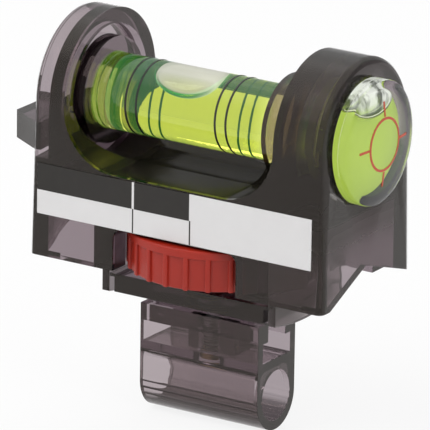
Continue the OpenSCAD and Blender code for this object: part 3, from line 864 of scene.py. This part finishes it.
def dress_tube_vial():
    """The tube vial: its plug and barrel in one clear piece with the joint's groove, its liquid and
    its printed rings."""
    glass = clear_plastic("tube_clear", dye=(0.85, 0.86, 0.05), density=120)
    left, right, r = TUBE_LEFT - END_PRESS, TUBE_RIGHT, TUBE_R
    wide = r + SEAT_PRESS
    groove_half, groove_deep, edge = 0.16, 0.18, 0.3
    outline = [(0, left), (wide, left), (wide, DISC_FACE - SEAT_STEP), (r, DISC_FACE)]
    outline += [(r, TUBE_JOINT - groove_half), (r - groove_deep, TUBE_JOINT), (r, TUBE_JOINT + groove_half)]
    outline += [(r, COLLAR_FACE), (wide, COLLAR_FACE + SEAT_STEP), (wide, right - edge)]
    outline += arc(wide - edge, right - edge, edge, 0, 90, 4)[1:] + [(0, right)]
    vial = turned_mesh("tube_vial_glass", outline, 160, centre=(0, 0, AXIS_Z))
    add_piece("tube_vial_glass", vial, glass, "level", "tube_barrel", "tube_cap")
    # The liquid's glow is painted light.
    liquid = level_liquid("tube_liquid_dye", (0.80, 0.80, 0.25), density=190, glow=(0.05, 0.62, 0.22),
                          painted_glow_strength=0.10)
    add_piece("tube_liquid_fill", moulding("tube_liquid"), liquid, "level", "tube_liquid")
    rings = printed_paint("ring_black", (0.008, 0.010, 0.008), (0.018, 0.020, 0.018))
    add_piece("tube_rings", tube_ring_mesh(rings), rings, "level", "tube_lines")


def bubble_mesh(name, centre, ball, ball_radii, bore_r, ends):
    """A bubble: a rounded form that the bore above it and the chamber's two ends flatten. Each
    point is where a ray from the centre first meets one of them, with a smooth change between."""
    bm = bmesh.new()
    around, down = 96, 64
    sharp = 9.0            # higher makes the change between the forms sharper
    rows = []
    for j in range(down + 1):
        polar = math.pi * j / down
        row = []
        for k in range(1 if j in (0, down) else around):
            turn = 2 * math.pi * k / around
            ray = Vector((math.cos(polar), math.sin(polar) * math.cos(turn), math.sin(polar) * math.sin(turn)))
            # where the ray leaves the rounded form
            off = Vector(centre) - Vector(ball)
            a = sum((ray[i] / ball_radii[i]) ** 2 for i in range(3))
            b = 2 * sum(ray[i] * off[i] / ball_radii[i] ** 2 for i in range(3))
            c = sum((off[i] / ball_radii[i]) ** 2 for i in range(3)) - 1
            reach = (-b + math.sqrt(b * b - 4 * a * c)) / (2 * a)
            total = reach ** -sharp
            # where it meets the bore, which runs along X
            across = ray.y ** 2 + ray.z ** 2
            if across > 1e-9:
                lift = centre[2] - AXIS_Z
                b2 = 2 * ray.z * lift
                c2 = lift * lift - bore_r ** 2
                total += ((-b2 + math.sqrt(b2 * b2 - 4 * across * c2)) / (2 * across)) ** -sharp
            # where it meets the chamber's end on its side
            for limit in ends:
                if abs(ray.x) > 1e-6 and (limit - centre[0]) / ray.x > 0:
                    total += ((limit - centre[0]) / ray.x) ** -sharp
            row.append(bm.verts.new((Vector(centre) + ray * total ** (-1 / sharp)) * MM))
        rows.append(row)
    for lower, upper in zip(rows, rows[1:]):
        for k in range(around):
            nxt = (k + 1) % around
            if len(lower) == 1:
                bm.faces.new((lower[0], upper[k], upper[nxt]))
            elif len(upper) == 1:
                bm.faces.new((lower[nxt], lower[k], upper[0]))
            else:
                bm.faces.new((lower[nxt], lower[k], upper[k], upper[nxt]))
    bmesh.ops.recalc_face_normals(bm, faces=bm.faces)
    mesh = bpy.data.meshes.new(name)
    bm.to_mesh(mesh)
    bm.free()
    return mesh


def dress_bubbles():
    """The tube vial's long bubble and the round vial's flat one, each against the top of its bore."""
    x, z, gap = TUBE_BUBBLE_X, AXIS_Z, 0.1
    half = 6.0
    # Both bubbles carry a painted reflection of the white room.
    air = bubble_air_painted_reflection("tube_bubble_air", "Y", low=-3.3, high=-1.5, share=0.85)
    tube = bubble_mesh("tube_bubble_skin", centre=(x, 0, z + 2.6), ball=(x, 0, z + 4.1),
                       ball_radii=(half, 4.4, 3.1), bore_r=TUBE_BORE_R - gap, ends=(x - half, x + half))
    add_piece("tube_bubble_skin", tube, air, "tube_air", "tube_bubble", smooth=0)
    tube.shade_smooth()
    front = ROUND_FRONT - LENS_EDGE
    mid, half = (ROUND_FLOOR + front) / 2, (front - ROUND_FLOOR) / 2
    disc = bubble_mesh("round_bubble_skin", centre=(mid, 0, z + 5.2), ball=(mid, 0, z + 6.4),
                       ball_radii=(half, 5.2, 2.9), bore_r=ROUND_BORE_R - gap,
                       ends=(ROUND_FLOOR + gap, front - gap))
    streaked = bubble_air_painted_reflection("round_bubble_air", "Z", low=z + 4.6, high=z + 6.2, share=0.8, streaks=True)
    add_piece("round_bubble_skin", disc, streaked, "round_air", "round_bubble", smooth=0)
    disc.shade_smooth()


def dome_outline(rim_r, rim_x, height, steps=14):
    """Outline points of the lens's dome, from its rim to its top."""
    r = (rim_r ** 2 + height ** 2) / (2 * height)
    centre = rim_x + height - r
    points = []
    for k in range(steps + 1):
        out = rim_r * (1 - k / steps)
        points.append((out, centre + math.sqrt(r * r - out * out)))
    return points


def dress_round_vial():
    """The round vial: its cup and lens in one clear piece with the seam's groove, its liquid, the
    green disc that backs it and the red target."""
    glass = clear_plastic("round_clear")
    r, back, front = ROUND_R, ROUND_BACK - END_PRESS, ROUND_FRONT
    seam, groove_half, groove_deep = front - LENS_EDGE, 0.06, 0.05
    wide = r + SEAT_PRESS
    dome_r = r - 0.4
    outline = [(0, back), (wide, back), (wide, HALF_LEN - SEAT_STEP), (r, HALF_LEN)]
    outline += [(r, seam - groove_half), (r - groove_deep, seam), (r, seam + groove_half), (r, front - 0.45)]
    outline += [(r - 0.1, front - 0.2), (dome_r, front)] + dome_outline(dome_r, front, DOME_H)[1:]
    vial = turned_mesh("round_vial_glass", outline, 160, centre=(0, 0, AXIS_Z))
    add_piece("round_vial_glass", vial, glass, "level", "round_cup", "round_lens")

    # The liquid's glow is painted light.
    liquid = level_liquid("round_liquid_dye", (0.84, 0.86, 0.10), density=30, glow=(0.40, 0.75, 0.12),
                          painted_glow_strength=0.03)
    bore, floor, top, edge = ROUND_BORE_R, ROUND_FLOOR + 0.05, ROUND_FRONT - 1.8, 0.1
    outline = [(0, floor), (bore - edge, floor), (bore, floor + edge)]
    outline += [(bore, top - edge), (bore - edge, top)]
    outline += dome_outline(bore - edge, top, height=0.4)[1:]
    fill = turned_mesh("round_liquid_fill", outline, 120, centre=(0, 0, AXIS_Z))
    add_piece("round_liquid_fill", fill, liquid, "level", "round_liquid")

    green = printed_paint("round_backing", (0.65, 0.85, 0.13), (0.71, 0.90, 0.16), roughness=0.6)
    low, high = ROUND_FLOOR - 0.4, ROUND_FLOOR - 0.02
    outline = [(0, low), (bore - edge, low), (bore, low + edge)]
    outline += [(bore, high - edge), (bore - edge, high), (0, high)]
    backing = turned_mesh("round_backing", outline, 120, centre=(0, 0, AXIS_Z))
    add_piece("round_backing", backing, green, "level")

    red = printed_paint("target_red", (0.50, 0.055, 0.022), (0.60, 0.085, 0.035))
    add_piece("round_target_print", moulding("round_target"), red, "level", "round_target")


def dress_wheel():
    """The thumbwheel: a turned wheel with a hub, a thin web and a rim, and the ribs round it."""
    red = moulded_plastic("wheel_red", (0.315, 0.014, 0.005), (0.375, 0.020, 0.008), roughness=0.42,
                          soft=0.12)
    core = WHEEL_R - 0.4                       # radius between the ribs
    low, top = WHEEL_LOW, WHEEL_LOW + WHEEL_H
    bore, hub, rim = 2.55, 5.0, core - 1.8     # radii of the hub's bore, the hub and the rim's inside
    web, edge, round_low, round_top = 1.6, 0.2, 0.3, 0.35
    outline = [(bore, low + edge), (bore + edge, low), (hub - edge, low), (hub, low + edge), (hub, low + web)]
    outline += [(rim, low + web), (rim, low + edge), (rim + edge, low), (core - round_low, low)]
    outline += arc(core - round_low, low + round_low, round_low, -90, 0, 4)[1:] + [(core, top - 1.4)]
    outline += [(WHEEL_R - 0.1, top - 1.32), (WHEEL_R, top - 1.2), (WHEEL_R, top - round_top)]
    outline += arc(WHEEL_R - round_top, top - round_top, round_top, 0, 90, 5)[1:]
    outline += [(rim + edge, top), (rim, top - edge), (rim, top - web), (hub, top - web)]
    outline += [(hub, top - edge), (hub - edge, top), (bore + edge, top), (bore, top - edge)]
    outline += [(bore, low + edge)]
    wheel = turned_mesh("thumbwheel_rim", outline, 150, along="z")
    bm = bmesh.new()
    bm.from_mesh(wheel)
    bmesh.ops.remove_doubles(bm, verts=bm.verts, dist=WELD)
    bmesh.ops.recalc_face_normals(bm, faces=bm.faces)
    bm.to_mesh(wheel)
    bm.free()
    add_piece("thumbwheel_rim", wheel, red, "wheel", "thumbwheel")

    rib_deep, rib_wide, rib_high = 1.3 * MM, 0.85 * MM, (WHEEL_H - 1.0) * MM
    rib_mesh = bpy.data.meshes.new("rib")
    bm = bmesh.new()
    bmesh.ops.create_cube(bm, size=1)
    bmesh.ops.scale(bm, verts=bm.verts, vec=(rib_deep, rib_wide, rib_high))
    bmesh.ops.translate(bm, verts=bm.verts, vec=(-0.25 * MM, 0, WHEEL_LOW * MM + rib_high / 2))
    bmesh.ops.bevel(bm, geom=list(bm.edges), offset=0.22 * MM, segments=3, affect="EDGES", profile=0.5)
    bm.to_mesh(rib_mesh)
    bm.free()
    rib = bpy.data.objects.new("rib", rib_mesh)
    bpy.context.collection.objects.link(rib)
    add_piece("thumbwheel_ribs", wheel_rib_mesh(red, rib), red, "wheel")
    bpy.data.objects.remove(rib)


def dress_screw():
    """The clamp screw with its thread, its cross pin, the nut and the pad."""
    steel = turned_metal("plated_steel", (0.30, 0.29, 0.29), (0.40, 0.39, 0.39), roughness=0.26)
    brass = turned_metal("turned_brass", (0.60, 0.42, 0.17), (0.72, 0.54, 0.25), roughness=0.28)
    core, tip_r = SCREW_R - 0.25, 1.5
    low, high = 4.95, WHEEL_LOW + WHEEL_H - 0.5
    tip_top, shank_low = 5.8, 6.8              # the tip widens into the shank between these heights
    outline = [(0, low), (tip_r - 0.2, low), (tip_r, low + 0.2), (tip_r, tip_top), (SHANK_R, shank_low)]
    outline += [(SHANK_R, THREAD_LOW - 0.1), (core, THREAD_LOW + 0.1)]
    outline += [(core, high - 0.3), (core - 0.3, high), (0, high)]
    screw = turned_mesh("clamp_screw_core", outline, 64, along="z")
    add_piece("clamp_screw_core", screw, steel, "wheel", "clamp_screw")
    add_piece("clamp_screw_thread", screw_thread_mesh(steel), steel, "wheel")
    pieces = (("wheel_pin", steel, "wheel"), ("plate_nut", brass, "level"), ("press_pad", brass, "pad"))
    for node, mat, body in pieces:
        piece = add_piece(node + "_metal", moulding(node), mat, body, node)
        soften_edges(piece, 0.12, segments=2)


def dress_label():
    """The film along the front."""
    film = add_piece("label_print", moulding("label"), label_film("printed_film"), "level", "label")
    soften_edges(film, 0.06, segments=2)


photo_camera()
studio()
studio_floor(cad_box[0][2] - FLOOR_GAP)
dress_body()
dress_tube_vial()
dress_bubbles()
dress_round_vial()
dress_wheel()
dress_screw()
dress_label()
